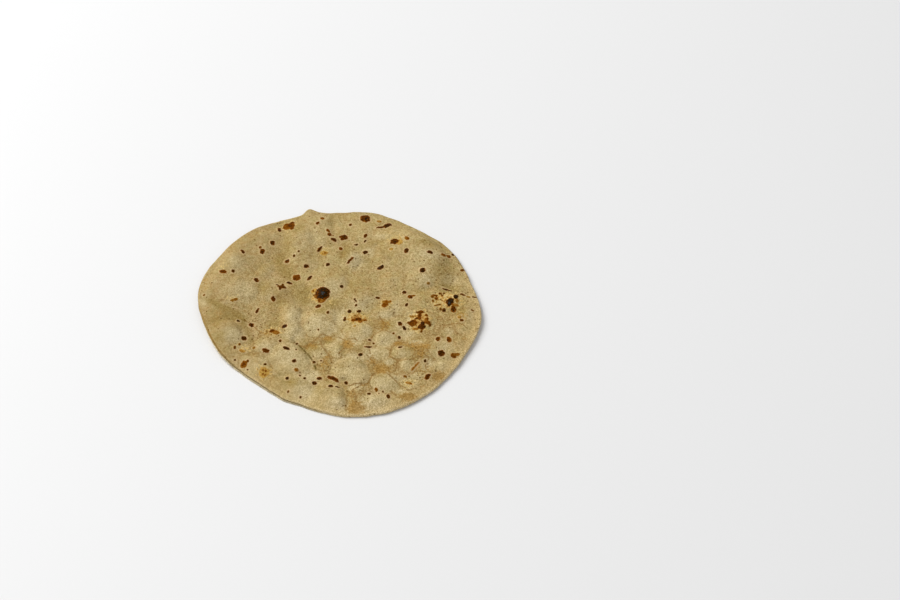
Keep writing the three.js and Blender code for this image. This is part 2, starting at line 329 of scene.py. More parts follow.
def dish_depth(x, y):
    """How deep the dish is that has sunk in the largest blister."""
    outwards = np.minimum(1, np.hypot(x - SUNKEN_DISH["x"], y - SUNKEN_DISH["y"]) / SUNKEN_DISH["radius"])
    return SUNKEN_DISH["deep"] * (1 - outwards * outwards) ** 2


def wave_height(x, y):
    """The slack skin's gentle unevenness: waves that cross at golden-angle turns, so that none line up."""
    height = np.zeros_like(x)
    for i, (length, high) in enumerate(WAVES):
        across, along = turned(x, y, math.degrees(i * GOLDEN_ANGLE))
        one = np.sin(across * 2 * math.pi / length + i)
        other = np.sin(along * 2 * math.pi / length + 2 * i)
        height += high * (one + other + 1)
    return height


folded = crease_depth(x, y)
print("blisters up to", round(float(blistered_height(x, y).max()), 1), "mm high")
print("creases up to", round(float(folded.max()), 1), "mm deep")

# %% [markdown]
# ## Where it has burnt
# Small bubbles touch the hot iron first and scorch: yellow, then rust brown, then black. Each mark is an
# oval with a degree of burning, and a turn where it lies askew. Painting them on a picture would be the
# usual way, but the finish here is made without pictures. So each point of the skin keeps its distance to
# the nearest mark's edge, and the finish later breaks that edge up with a fine noise.

# %% List the marks
# x, y, half width, half depth, burning from 0 for pale yellow to 1 for black, past that to a grey middle
# with a painted highlight, and a turn if there is one
MARKS = [
    (-38.1, 64.4, 2.2, 3, 0.62), (-35.2, 66, 1.8, 3.2, 0.74), (-34.8, 63.2, 1.2, 1.4, 0.66),
    (-42.5, 61.5, 1, 2, 0.9, 10), (-19, 69, 1, 1.7, 0.74, -10), (-16.5, 73.4, 1.5, 1.3, 0.6, -20),
    (1.5, 69, 0.7, 1.3, 0.85, -30), (-12, 62.8, 1, 1.7, 0.6, 15), (-10.9, 59.4, 1.2, 1.4, 0.75),
    (-8, 55.3, 2, 1.1, 0.88, -14), (-8.6, 58.4, 0.6, 0.4, 0.6), (-1.8, 57.5, 2.4, 2.3, 0.85, 10),
    (-3.6, 57.8, 1.4, 1, 0.8, -10), (-45.3, 50.1, 1.35, 1.65, 0.92, 10), (-52.5, 45.5, 0.8, 1, 0.55),
    (-50.8, 42, 1.5, 2.1, 0.8), (-62.8, 41, 0.9, 1.7, 0.88, 25), (-16, 46.5, 0.8, 2.9, 0.88, -20),
    (-13, 43, 2.3, 1.8, 0.06, 20), (-12, 43.3, 1, 1, 0.38), (-13.9, 42.4, 0.4, 0.4, 0.4),
    (-3, 47.9, 1.1, 1.2, 0.76), (-28.5, 44, 0.6, 0.7, 0.8), (-31.2, 40.2, 0.66, 0.9, 0.85),
    (-35, 34.7, 1.5, 1.4, 0.85, 25), (-22.8, 31.5, 1.6, 1.4, 0.95, 20), (-10, 33.5, 1.2, 1.3, 0.92),
    (3.5, 38.5, 0.7, 3, 0.8, -30), (-72.5, 23.8, 2.2, 1.3, 0.74, -10), (-66.5, 24.8, 0.95, 1.2, 0.85),
    (-51.5, 18, 1.25, 1.8, 0.86), (-27.8, 21.5, 2.2, 2.4, 0.72), (-20, 21.8, 0.8, 2, 0.9, -35),
    (-31.8, 16.8, 1.7, 1.05, 1, -32), (-35.8, 13.4, 2, 1.9, 0.86), (-38.3, 14.6, 0.9, 0.6, 0.75, -20),
    (-34.2, 12.6, 0.9, 0.7, 0.84), (-35.5, 15.3, 0.6, 0.9, 0.8), (-36.9, 11.6, 0.6, 0.8, 0.8),
    (-0.3, 16.1, 0.95, 1.2, 0.98), (-11.3, 10.5, 4.4, 4.5, 0.95), (-11.3, 6.2, 2.6, 3.4, 0.64),
    (-11.3, 4.1, 1.4, 1.2, 0.35), (-14, 9.4, 0.9, 2.2, 0.74), (-11, 10.1, 2.6, 3.1, 1.05),
    (-11, 10.1, 0.9, 1.2, 1.4), (-16.5, 11.7, 1.3, 1.2, 0.02), (-16.6, 11.5, 0.47, 0.61, 0.5),
    (-16.2, 7.8, 0.5, 0.6, 0.6), (-15, 6.1, 0.4, 0.5, 0.6), (-13.6, 5.2, 0.4, 0.5, 0.5),
    (-40, 4, 1.3, 1.4, 0.82), (-64.2, 0.7, 1.1, 0.8, 0.34, 10), (-62, 1.8, 1.2, 0.9, 0.42, 20),
    (-81, 4.3, 0.6, 0.8, 0.5), (-12.9, -0.8, 1.7, 1.4, 0.86, 35), (-7, -5.3, 0.6, 1.4, 0.8, -10),
    (-48.2, -6.5, 0.8, 2, 0.9, -15), (10.5, 75.3, 3.3, 3.5, 0.78), (12, 75, 1.7, 2.5, 0.9),
    (24.9, 70, 3.2, 1.7, 0.88, 40), (20.4, 68.1, 2.6, 0.7, 0.8, 18), (19.4, 73.3, 1.5, 1, 0.26),
    (11.5, 60, 0.8, 1.9, 0.82, -30), (11.5, 55, 0.6, 1.2, 0.85, -30), (6.3, 51.8, 1.2, 0.6, 0.85, 20),
    (33, 55.5, 2, 2.6, 0.1), (29.9, 56, 2.6, 2.4, 0.84), (37.6, 59.6, 1.1, 1.9, 0.6, 25),
    (28, 49.5, 1.2, 0.8, 0.15), (37.5, 48.8, 1.5, 1.7, 0.95), (52.3, 48.3, 1.6, 1.3, 0.92, -25),
    (12.3, 45.6, 1.4, 1.2, 0.95), (60.8, 46.2, 1.6, 1.3, 0.6), (64, 45.3, 1.4, 1.4, 0.62),
    (66.5, 47.3, 0.8, 1.1, 0.85), (22.5, 33.3, 2, 1.5, 0.93, 30), (48, 32.7, 1.6, 2, 0.97),
    (51.9, 23, 0.9, 0.5, 0.3, 35), (72.5, 34.3, 1.2, 0.8, 0.65, 10), (22, 8.3, 1.3, 0.8, 0.9, -10),
    (26.8, 3.4, 1.9, 3, 0.58, -12), (29.1, 5.8, 1.4, 0.9, 0.4, 35), (25.7, 5.3, 0.9, 0.9, 0.3),
    (8.3, 6.5, 0.57, 0.73, 0.9), (9.2, 5.2, 0.4, 0.5, 0.8), (9.1, 2, 0.57, 0.73, 0.8),
    (5.8, -3.4, 1.04, 1.2, 0.97), (11.5, -3.2, 1.2, 1.1, 0.97), (8.8, -10.2, 1.6, 1, 0.64, -5),
    (12.6, -11, 1.3, 1.3, 0.5, -20), (11.3, -9.3, 2.2, 1.4, 0.8), (15, -9.8, 1.5, 0.9, 0.55, 15),
    (9.3, -6.6, 0.9, 0.7, 0.3, -20), (9.7, -14.8, 0.8, 0.8, 0.05), (3.5, -9.5, 0.7, 1.5, 0.85),
    (36, -11.3, 1.1, 1.7, 0.9, 15), (36, -22, 0.9, 1.3, 0.92), (32.5, -19, 0.5, 0.6, 0.85),
    (60.8, -32.3, 1.9, 2.1, 0.9), (68, -34, 1.8, 1.6, 0.7), (70, -33, 1.6, 1, 0.5, 20),
    (19, -25, 0.9, 0.7, 0.85, 10), (21.5, -27.5, 0.7, 0.6, 0.7), (18.5, -30.2, 2, 0.7, 0.9, 10),
    (14.5, -36, 1.3, 0.8, 0.92, 30), (37, -29.5, 1.2, 0.7, 0.9, 10), (46, -43, 3.6, 0.5, 0.5, 56),
    (51.5, -38.6, 0.76, 1, 0.95), (53.3, -50, 1.4, 2.2, 0.82, -35), (40.5, -50.8, 1, 0.7, 0.6),
    (42.7, -55.4, 1.9, 1, 0.34, -8), (0, -54.5, 4, 1.3, 0.84, -34), (7.5, -57.3, 1.2, 0.9, 0.9, -25),
    (-0.8, -60, 1.3, 1, 0.88), (3, -60.3, 1.3, 0.5, 0.85, -10), (24.7, -61, 0.8, 1.3, 0.55),
    (21, -64.3, 1, 0.9, 0.92), (31.7, -65.4, 0.95, 1.2, 0.88), (26.3, -63.7, 0.47, 0.61, 0.8),
    (28.7, -62.2, 0.47, 0.61, 0.8), (-58, -15, 0.9, 0.7, 0.95), (-50.4, -17.7, 1.4, 1.3, 0.88),
    (-31.2, -17.1, 1.4, 1.1, 0.86), (-37.8, -21.4, 1.6, 1.5, 0.76), (-35.6, -22.4, 2, 1.6, 0.45, -10),
    (-53.3, -27.9, 1.3, 1.6, 0.9), (-32.4, -28.5, 0.85, 1.1, 0.88), (-55.3, -32.5, 0.6, 0.9, 0.5),
    (-57.9, -35, 0.6, 1.2, 0.6), (-46.8, -34.7, 0.76, 1, 0.3), (-53.3, -37.3, 1.8, 1, 0.2, -15),
    (-28.5, -34, 2.1, 1.1, 0.93, -25), (-40, -36.1, 2, 1.25, 0.76, -15), (-23, -43, 1.04, 1.3, 0.95),
    (-11.8, -43.3, 0.8, 0.9, 0.85), (-51, -47, 1.7, 2.1, 0.5), (-51, -46.6, 1, 1.2, 0.66),
    (-49.4, -44.6, 0.8, 0.8, 0.6), (-39.2, -46.3, 0.66, 0.9, 0.88), (-39, -52.3, 2.6, 3.2, 0.08),
    (-39.8, -53.5, 0.5, 0.6, 0.6), (-38.2, -51.2, 0.47, 0.61, 0.6), (-40, -51, 0.4, 0.5, 0.6),
    (-38.4, -54.3, 0.4, 0.5, 0.6), (-21.2, -49.3, 1.1, 1.2, 0.42), (-16, -55.3, 0.76, 1, 0.85),
    (-25.7, -56, 0.95, 1.2, 0.95), (-7.7, -54.7, 1.4, 1, 0.9), (-10, -58.2, 1.3, 1.2, 0.86),
    (-24.3, -65, 0.5, 0.65, 0.7), (-17, -68.8, 0.6, 0.7, 0.88), (-18.8, -53.3, 0.47, 0.61, 0.85),
    (-48.5, -50.8, 0.47, 0.61, 0.85), (-56.6, -44.3, 0.47, 0.61, 0.8), (-22.8, -30.3, 0.47, 0.61, 0.85),
    (-22.8, -34.5, 0.47, 0.61, 0.85), (-8, -42, 0.47, 0.61, 0.85), (-11.4, -18.8, 0.47, 0.61, 0.8),
    (47.6, -1.4, 2, 1.1, 0.8), (46, -2, 0.9, 0.8, 0.75), (47.2, -4.2, 1.14, 1.5, 0.7),
    (47.1, -6.2, 1.3, 1.2, 0.75), (45.6, -6.6, 0.9, 0.7, 0.7), (43.6, -8.7, 1.7, 1.1, 0.75),
    (44.9, -10.2, 1.3, 1.6, 0.7), (42.4, -10.7, 1, 1.7, 0.75), (43.6, -12.4, 0.8, 1, 0.7),
    (41.2, -10.3, 0.76, 1, 0.7), (49.6, -10.2, 1.2, 1.6, 0.95), (49.3, -12.6, 1.9, 1.9, 0.88),
    (48, -12.8, 1.3, 1.2, 0.8), (48.8, -16.3, 0.7, 1, 0.6), (51.3, -3.8, 0.9, 1.2, 0.55),
    (51.7, -6.9, 1, 1.8, 0.6), (51.8, -8.7, 1.14, 1.5, 0.6), (53, -9.5, 1.1, 1.5, 0.65),
    (53.8, -11.2, 0.5, 1, 0.6), (43.4, -5.3, 1.8, 0.6, 0.3), (45.2, -14.8, 1.5, 1, 0.3),
    (65, 7.6, 1.9, 3, 1.05), (66.4, 8.9, 1.2, 1.7, 1.05), (65, 6.8, 0.6, 0.9, 1.4),
    (68.8, 12.2, 1.4, 1.9, 1.05), (67.1, 1.8, 1.5, 2.1, 0.72), (67, 1.7, 0.6, 0.9, 0.92),
    (69.6, 8.8, 0.9, 1.2, 0.3), (68.4, 5.4, 2, 1, 0.4), (61.9, 0.9, 1.1, 1.2, 0.85),
    (56.2, 12.3, 1.6, 0.9, 0.6), (54.6, 11.5, 0.7, 1.2, 0.55), (56.8, 10.3, 1, 1.4, 0.6),
    (55, 8, 0.6, 1.2, 0.5), (59.3, 13.8, 0.8, 1, 0.65), (61.6, 14.3, 0.6, 0.8, 0.7),
    (60.3, 12.5, 0.66, 0.9, 0.6), (57.2, 4.6, 1.4, 0.5, 0.5, 20), (58.8, 5.4, 0.8, 0.7, 0.55),
    (59.5, 2, 0.6, 1.1, 0.5), (63.3, 17.2, 2.8, 0.42, 0.9, -16), (72.7, 14.2, 1.6, 0.7, 0.8, -25),
    (76.3, 12.4, 1.4, 0.6, 0.2), (79.9, 12.5, 1.2, 0.5, 0.85), (78.7, 1.7, 1.2, 0.5, 0.55, -10),
    (72.5, -6.3, 1.1, 1, 0.82), (71, -3.8, 0.9, 1.1, 0.15), (41.3, 10.4, 1.4, 1.5, 0.76),
    (43.1, 11.2, 1, 0.9, 0.5), (39.4, 3.8, 0.8, 1.4, 0.9, -20), (37.6, 13.8, 1.15, 1.45, 0.95),
    (38.7, -14.7, 0.9, 1.6, 0.92, 20), (58.7, -22, 1.3, 1.8, 0.76), (65, -22, 1.3, 2.5, 0.7, 5),
]
print("marks above:", len(MARKS))

# %% [markdown]
# Inside an oval the distance is below zero. Where marks overlap, the later one in the list lies over the
# earlier one, so a large pale mark comes before the small dark ones on it.

# %% Measure the distance to the marks
# size of the lumps, reach, seed, as for the blisters
MARK_WARPS = [(3.1, 0.25, 61), (1.7, 0.1, 63)]
FAR_AWAY = 99.0
# the share of a mark's oval that counts as its very middle
VERY_MIDDLE = 0.05


def mark_distance(marks, x, y):
    """The distance to the nearest mark's edge, with that mark's burning and size."""
    nearest = np.full_like(x, FAR_AWAY)
    burning, size = np.zeros_like(x), np.zeros_like(x)
    x, y = shifted(x, y, MARK_WARPS)
    for at_x, at_y, wide, deep, burnt, *turn in marks:
        across, along = turned(x - at_x, y - at_y, *turn)
        outwards = np.hypot(across / wide, along / deep)
        steepness = np.hypot(across / wide ** 2, along / deep ** 2)
        distance = outwards * (outwards - 1) / np.maximum(steepness, TINY)
        # nothing is steep there, so the distance is the short half width
        distance = np.where(outwards < VERY_MIDDLE, -min(wide, deep), distance)
        closer = distance < nearest
        nearest = np.where(closer, distance, nearest)
        burning = np.where(closer | (distance < 0), burnt, burning)
        size = np.where(closer, math.sqrt(wide * deep), size)
    return nearest, burning, size


print("darkest mark:", max(mark[4] for mark in MARKS), "palest:", min(mark[4] for mark in MARKS))

# %% [markdown]
# The underside has had the same fire, and the table hides it, so its marks are scattered by a seeded draw:
# most of them small and dark, a few large. A spiral of golden angles spreads them evenly.

# %% Scatter the marks underneath
UNDER_COUNT, UNDER_SEED = 120, 11
# the share of the radius that they reach, and how far each strays from the spiral, in radians
UNDER_REACH, UNDER_STRAY = 0.94, 0.35
# the least size and what a draw adds on average, the slimmest shape, the palest burning
UNDER_LEAST, UNDER_MORE, UNDER_SLIMMEST, UNDER_PALEST = 0.7, 0.5, 0.65, 0.45


def scatter_marks(count, seed):
    """Marks spread evenly over a round, as many small ones and a few large ones."""
    draw = np.random.default_rng(seed)
    marks = []
    for i in range(count):
        distance = UNDER_REACH * RADIUS * math.sqrt((i + 0.5) / count)
        angle = i * GOLDEN_ANGLE + draw.uniform(-UNDER_STRAY, UNDER_STRAY)
        size = UNDER_LEAST + UNDER_MORE * draw.exponential()
        shape = draw.uniform(UNDER_SLIMMEST, 1)
        turn, burnt = draw.uniform(0, 180), draw.uniform(UNDER_PALEST, 1)
        place = distance * math.cos(angle), distance * math.sin(angle)
        marks.append((*place, size, size * shape, burnt, turn))
    return marks


under_marks = scatter_marks(UNDER_COUNT, UNDER_SEED)
print("marks below:", len(under_marks))

# %% [markdown]
# ## The fine skin
# Close up, the skin isn't smooth between its blisters: it has soft lumps, wrinkles where it shrank, and a
# small swelling under every scorched bubble. These go into the mesh itself, since their shadows show. A
# wrinkle is a noise folded at its middle, which gives it a ridge.

# %% Shape the upper skin
RIM_THICKNESS = 1.7
MIDDLE_THICKNESS = 2.3
RELIEF_FADE = 9
# size, height, seed
LUMPS = [(8.5, 0.14, 21), (4.6, 0.11, 22), (2.6, 0.09, 23)]
WRINKLES = {"size": 6.5, "seed": 31}
WRINKLE_HEIGHT = 0.16
LUMPS_AT_BACK = 0.4
# the front right, with its small domes, starts softly between these places in y and in x
FRONT_START, FRONT_LEAN = (8, 22), 0.2
FRONT_LEFT = (-64, -42)


def front_share(x, y):
    """From 0 over the back and left of the bread to 1 over its front right, where the small domes are."""
    return smooth_step(-y + FRONT_LEAN * x, *FRONT_START) * smooth_step(x, *FRONT_LEFT)


def skin_lumps(x, y):
    """Soft lumps of a few sizes, and wrinkles."""
    height = sum(high * soft_noise(x, y, size, seed) for size, high, seed in LUMPS)
    ridges = (1 - np.abs(soft_noise(x, y, **WRINKLES))) ** 4
    share = LUMPS_AT_BACK + (1 - LUMPS_AT_BACK) * front_share(x, y)
    return share * (height + WRINKLE_HEIGHT * ridges)


def skin_height(x, y):
    """How far the upper skin stands above the table, without the bubbles under its marks."""
    relief = blistered_height(x, y) + wave_height(x, y) - crease_depth(x, y) - dish_depth(x, y)
    inside = smooth_step(edge_radius(np.arctan2(y, x)) - np.hypot(x, y), 0, RELIEF_FADE)
    thickness = RIM_THICKNESS + (MIDDLE_THICKNESS - RIM_THICKNESS) * inside
    return underside_height(x, y) + thickness + inside * (np.maximum(0, relief) + skin_lumps(x, y))


skin = skin_height(x, y)
print("skin up to", round(float(skin.max()), 2), "mm above the table")

# %% [markdown]
# The marks were read as if they lay on a flat sheet. On the skin, each has to move along the line of sight
# until it meets the real height there, or the marks on a high blister would look shifted.

# %% Lay the marks on the skin
CAMERA_PLACE = (42.06, -492.88, 560.38)
# the flat sheet's height, and by how much the reading as a whole was off in x and y
READ_AT_HEIGHT = 3.0
MARKS_SHIFT = (0.22, -0.55)


def slide_onto_skin(mark):
    """The mark moved down the line of sight, from the flat sheet that it was read on to the skin."""
    mark_x, mark_y = mark[0] + MARKS_SHIFT[0], mark[1] + MARKS_SHIFT[1]
    above_sheet = float(skin_height(*np.array([[mark_x], [mark_y]], float))[0]) - READ_AT_HEIGHT
    share = above_sheet / (CAMERA_PLACE[2] - READ_AT_HEIGHT)
    return (mark_x + share * (CAMERA_PLACE[0] - mark_x), mark_y + share * (CAMERA_PLACE[1] - mark_y),
            *mark[2:])


upper = level >= 0.5
above = mark_distance([slide_onto_skin(mark) for mark in MARKS], x, y)
below = mark_distance(under_marks, x, y)
char_distance, char_burning, char_size = [np.where(upper, one, other) for one, other in zip(above, below)]
print("marks cover", round(100 * float(np.mean(above[0][upper] < 0)), 1), "percent of the upper skin")

# %% [markdown]
# Each level of the slab now gets its height: the upper skin with its bubbles, the underside with the same
# lumps pressed inwards, so that it still rests on the table, and the edge's levels evenly between them.

# %% Raise the skin
UNDERSIDE_LUMPS = {"size": 13, "seed": 41}
UNDERSIDE_LUMP_HEIGHT = 0.7
UNDERSIDE_LUMP_SHARE = 0.5
BUBBLE_HEIGHT = 0.3
BUBBLE_SPREAD = 1.1

inside = smooth_step(from_edge, 0, RELIEF_FADE)
bubbles = BUBBLE_HEIGHT * inside * smooth_step(-above[0], -BUBBLE_SPREAD, BUBBLE_SPREAD)
dents = UNDERSIDE_LUMP_HEIGHT * soft_noise(x, y, **UNDERSIDE_LUMPS) + UNDERSIDE_LUMP_SHARE * skin_lumps(y, x)
height = np.where(level == 1, skin + bubbles, base + level * RIM_THICKNESS)
height = np.where(level == 0, base + inside * np.maximum(0, dents), height)
places = np.stack([x - middle[0], y - middle[1], height], 1) / MM_PER_METRE
bread_mesh.vertices.foreach_set("co", places.astype(np.float32).ravel())
bread_mesh.update()
print("skin:", np.round(MM_PER_METRE * np.ptp(places, axis=0), 2), "mm")

# %% [markdown]
# ## What the finish needs to know
# The finish follows the form: blisters are pale because the flour on them never touched the iron, and the
# valleys between them are tanned. Other things follow no form: patches that toasted or were stained, patches
# of kept flour that also paint light on slopes, and dull olive patches that also paint shade in hollows and
# on slopes. Those are lists of soft ovals. All become numbers on every point of the skin, which
# the finish reads as named attributes.

# %% List the patches
# x, y, half width, half depth, strength
TOASTED = [
    (63.5, 6.8, 8, 6.5, 0.86), (48, -9, 5.5, 6.5, 1.04), (10.6, -9, 5.8, 4, 1), (-14.5, 6.2, 3.5, 3, 0.85),
    (-4.9, 2.9, 3, 3, 0.45), (-39, -52, 3.6, 4, 0.9), (31, 56, 6, 5, 0.6), (-13, 44, 4, 4, 0.5),
    (27, 3, 5, 5, 0.5), (-37, 65, 6, 6, 0.5), (-53, -36, 5, 4, 0.5), (43, -55.5, 4, 3.4, 0.62),
    (69, -33, 5, 4, 0.5), (-36, -22, 5, 4, 0.6), (-64, 1, 4, 3, 0.5), (-72, 24, 4, 3, 0.5),
]
STAINS = [
    (27, -46, 4, 3.2, 1.3), (21.5, -40, 2.2, 3, 0.9), (14.4, -74.6, 3.8, 3, 1.5), (60, -49.5, 3, 3, 1.3),
    (6.8, -30, 3.2, 2.8, 1.25), (43.4, -65.2, 4, 2.2, 1.4), (52, -58, 3, 3, 0.6), (27, -13, 4, 5, 0.8),
    (47.5, -29, 8, 3, 1), (36, -27.3, 3, 2, 0.9), (50, -34.8, 3, 4, 0.8), (-4.6, -26, 3, 1.6, 1.1),
    # the stain at (-70, -13) darkens the left fold: partly its colour, partly painted shade
    (-14.5, -31.8, 3, 1.4, 1), (-70, -13, 9, 4, 0.45), (-82, 15, 3, 8, 0.6), (12, -65, 5, 4, 0.45),
    (-13, -33.5, 3, 2, 0.7), (75, -22, 4, 6, 0.45), (-5, -44, 3.5, 5, 0.75), (34, -42, 3, 4, 0.3),
    (50, -45, 7, 5, 0.5), (38, -71, 6, 3, 0.3), (-2, -20, 4, 7, 0.4), (-5, -8, 5, 5, 0.3),
    (19, -61, 3, 4, 0.6), (-80, 9, 3, 6, 0.55), (-6, 74, 3, 6, 0.4), (-70, 43, 6, 5, 0.45),
    (-56, 56, 6, 4, 0.45), (2, 62, 20, 10, 0.12), (-57, 55, 12, 8, 0.15), (-39, -23, 4.5, 3.5, 1),
    (72, -5, 4.5, 4.5, 0.8),
]
SPECKLED = [
    (-41, -24.5, 5, 3.5, 1.7), (-5, -44, 5, 6, 1), (64, 32, 9, 14, 0.7), (22, 9, 12, 8, 0.5),
    (11, -64, 7, 6, 0.8), (52, -38, 10, 9, 0.6), (46, -48, 9, 6, 0.6), (60, -12, 9, 6, 0.5),
    (-46, -14, 8, 4, 1), (0, 40, 12, 9, 0.5), (66, 8, 9, 8, 0.8),
]
# where flour has stayed on the skin, and where light is painted on slopes
FLOURED_AND_LIT = [
    (36, 46, 15, 17, 0.4), (47, 38, 8, 12, 0.5), (32, 53, 6, 5, 0.45), (51, 28, 5, 8, 0.55),
    (6.5, 37.5, 4, 5, 1.25), (15, 45, 4, 4, 0.7), (-20, 33, 5, 5, 0.5), (50, 22, 4, 4, 1),
    (-14, 62, 10, 8, 0.4), (-22, 53, 9, 10, 0.65), (-5, 14, 5, 6, 0.9), (-25, 14, 3, 3, 0.6),
    (-44, 25, 4, 6, 0.5), (-58, 6, 9, 8, 0.75), (-65, 29, 5, 6, 0.8), (12, 0, 6, 4, 0.85), (0, -9, 5, 7, 0.9),
    (17, 5, 4, 4, 0.7), (-3, -18, 4, 4, 1.05), (16.5, -19.5, 3.5, 4, 1.05), (-28, -13, 5, 8, 0.35),
    (-24, -24, 6, 6, 1.1), (-26, -12, 4, 6, 1.1), (-19, -57, 5, 4, 0.8), (0.5, 18, 3, 5, 0.8),
    (-42, 5, 3, 5, 0.6), (33, 0, 3, 7, 0.7), (-12, -16, 7, 6.5, 1), (28, -5.5, 5, 3, 1),
    (-25, -43, 9, 9, 0.9), (-40, -36, 4.5, 4.5, 0.8), (-0.8, -31.5, 5, 4, 0.5), (-9.8, -37.5, 4.3, 4, 0.6),
    (27.3, -35.3, 4, 4, 0.7), (10.6, -50, 9, 8.5, 0.76), (12, -39, 8, 3.5, 0.95), (1, -38, 3, 3, 1),
    (11, -27, 4.5, 4.5, 1), (2, -24, 3, 4, 0.9), (-5, -22, 3, 2.5, 0.9), (70, -22, 3, 4, 0.6),
    (0.5, -41.5, 3, 3, 0.7), (38, -52, 4, 3, 0.8), (32, 22, 3, 4, 0.5), (20, -36, 4.5, 5, 1.1),
    (12, -19, 5.5, 5.5, 0.45), (28.7, -23.7, 6, 6, 0.85), (37, -15, 5, 5, 0.7), (43.5, -7, 3, 4, 1.1),
    (41, -21, 6, 4, 0.85), (46, -26.5, 5, 3, 1.1), (31, -41, 3.5, 3, 1), (53, -41, 3.5, 6, 1.05),
    (34, -47, 3, 3, 0.5), (38, -61.5, 5, 3, 0.9), (42, -7, 3, 4, 0.6), (38.5, -34.5, 4, 3.5, 0.65),
    (41, -43, 3, 3, 0.75), (29.4, -57.5, 6.5, 6, 0.85), (45, -56.5, 4, 3, 0.7), (46.7, -51.3, 3.5, 3, 0.8),
    (25.2, -73, 8, 5.5, 1.6), (4, -74, 5, 4, 1.6), (-1, -68, 7, 7, 0.5), (-12, -54, 4.5, 4.5, 1.25),
    (-15, -67, 5, 5, 1.4), (13, -60.5, 5, 3, 1), (-39, -42, 4, 5, 0.8), (-20, -61, 8, 5, 0.5),
    (-46, -50, 5, 6.5, 0.55), (62, -30, 5.5, 5.5, 0.75), (62, -42, 4, 3.5, 0.75), (-60, -28, 6, 5, 1.15),
    (66, 25, 5, 5, 0.8), (76.5, -4, 3, 4, 0.8), (65, -17, 4, 5, 0.85), (-45, 54, 4, 3, 0.5),
    (22, 58, 6, 3, 0.7), (52, 42, 6, 4, 1.1), (-80, -2, 3, 5, 0.8),
]
# olive patches where the skin sank and stayed dull, and where shade is painted in hollows and on slopes
DULLED_AND_SHADED = [
    (61, 30, 7, 10, 0.55), (64, 18, 7, 4, 0.8), (16, 22, 9, 7, 0.5), (-50, 28, 5, 5, 0.45),
    (-26, -54, 4, 4.5, 0.5), (30, -13, 4, 6, 0.6), (-5, 1, 6, 4, 0.85), (-11, -4, 4, 4, 0.8),
    (-70, -19, 4, 5, 0.6), (78, -10, 3, 4, 0.5), (72, 0, 4, 6, 0.8), (67, 13, 7, 3, 0.6), (65, 16, 7, 2, 0.9),
    (-24, -59, 5, 4, 0.85), (42, -31, 5, 3, 0.7), (48, -37, 4, 4, 0.6), (26, -51.5, 3, 3, 0.6),
    (45, -53, 4, 3, 0.5), (-33, -57, 5, 4, 0.6), (-6, 28, 4, 4, 0.5), (0, 43, 3.5, 6, 0.85),
    (-36, 48, 4, 10, 0.65), (-35, 63, 4, 4, 0.5), (-10.5, 71, 1.4, 8, 0.55), (-66, 15, 5, 5, 0.4),
    (-46, 11, 5, 5, 0.75), (-55, 24, 5, 5, 0.35), (-35, 0, 4, 4, 0.65), (-42, -27, 4, 4, 0.5),
    (-38, -17, 5, 4, 0.75), (-67, -30, 4, 5, 0.7), (-17, -35, 5, 3, 0.65), (-2, -57, 4, 3, 0.5),
    (-19, 11, 4, 4, 0.7), (72.5, 6, 3, 5, 0.7), (-13, -33, 4, 3, 0.9), (5, -47, 3, 3, 0.5),
    (48, 53, 6, 3, 0.6), (13, 50, 4, 3, 0.5), (31, 37, 3, 4, 0.45), (-18, 22, 4, 4, 0.4), (24, 46, 2, 4, 0.5),
    (28, 41, 2, 3, 0.5), (-58, -21, 4, 3, 0.4), (9, 12, 4, 6, 0.45), (5, 18, 3, 5, 0.5), (-5, -28, 3, 2, 0.9),
    (-45, -31, 4, 3, 0.5), (-30, -52, 3, 4, 0.5), (-31, 61, 4, 5, 0.7), (-38, 17, 4, 3, 0.5),
    (-56, 56, 4, 4, 0.4), (19, -67, 3, 3, 0.5), (-11, 59, 5, 3, 0.4), (47, 14, 5, 3, 0.5),
    (-8, -63, 3, 4, 0.5), (20, -11, 4, 3, 0.2), (52, -14, 3, 3, 0.4),
]


def patches(spots, x, y):
    """Soft oval patches, each with its own strength."""
    total = np.zeros_like(x)
    for at_x, at_y, wide, deep, strength in spots:
        total = np.maximum(total, strength * bell(np.hypot((x - at_x) / wide, (y - at_y) / deep)))
    return total


floured_and_lit = patches(FLOURED_AND_LIT, x, y)
print("patches:", sum(len(spots) for spots in (TOASTED, STAINS, SPECKLED, FLOURED_AND_LIT, DULLED_AND_SHADED)))

# %% [markdown]
# Between the small domes at the front, the skins stuck together along a net of lines, which baked browner.
# A blister's dome is pale all over, whatever its height, so it needs a share of its own. The valleys are
# what is left, unless flour or painted light lies there.

